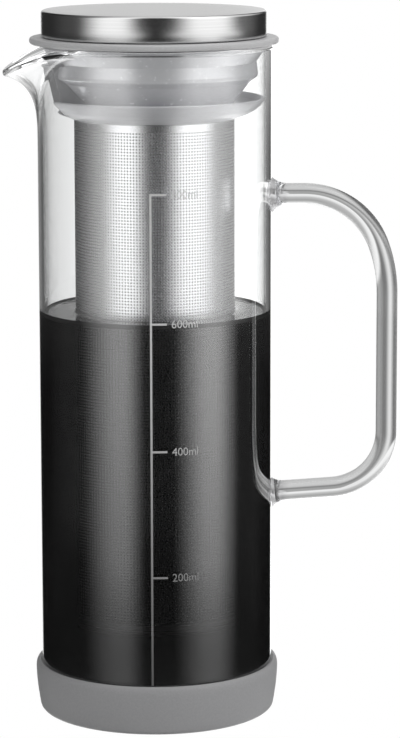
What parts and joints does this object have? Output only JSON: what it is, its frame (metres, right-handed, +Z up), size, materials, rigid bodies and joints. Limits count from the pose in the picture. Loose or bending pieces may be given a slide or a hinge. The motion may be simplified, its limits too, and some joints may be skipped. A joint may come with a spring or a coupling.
{
  "type": "cold brew coffee maker",
  "caption": "Glass carafe with pouring spout, bent glass handle, silicone base sleeve and volume scale, holding a fine steel filter on a silicone collar under a turning steel lid.",
  "frame": {"origin": "On the table under the carafe's axis, at the middle of the sleeve's foot.", "axes": "+Z is up along the carafe's axis, +X points to the handle, -X to the spout, and the scale faces -Y."},
  "size_m": [0.1354, 0.085, 0.2439],
  "materials": {
    "clear_glass": "clear borosilicate glass",
    "grey_silicone": "matt silicone",
    "clear_silicone": "translucent silicone",
    "scale_print": "screen print",
    "brew": "dark liquid",
    "filter_steel": "stainless steel sheet with fine holes",
    "polished_steel": "polished stainless steel",
    "clear_plastic": "translucent moulded plastic"
  },
  "bodies": {
    "carafe": {"carafe_glass": "clear_glass", "carafe_handle": "clear_glass", "base_sleeve": "grey_silicone", "measuring_scale": "scale_print", "cold_brew": "brew"},
    "filter": {"filter_tube": "filter_steel", "filter_cup": "filter_steel", "filter_hoop": "filter_steel", "filter_collar": "clear_silicone"},
    "gasket": {"lid_gasket": "grey_silicone"},
    "lid": {"lid_cap": "polished_steel", "lid_insert": "clear_plastic", "lid_core": "clear_plastic", "pour_panel": "clear_plastic", "panel_lip": "clear_plastic"}
  },
  "joints": [
    {"name": "filter_lift", "type": "slide", "parent": "carafe", "child": "filter", "axis": [0, 0, 1], "range_m": [0, 0.23]},
    {"name": "lid_lift", "type": "slide", "parent": "filter", "child": "gasket", "axis": [0, 0, 1], "range_m": [0, 0.06]},
    {"name": "lid_turn", "type": "hinge", "parent": "gasket", "child": "lid", "pos_m": [0, 0, 0.2339], "axis": [0, 0, 1], "continuous": true}
  ]
}
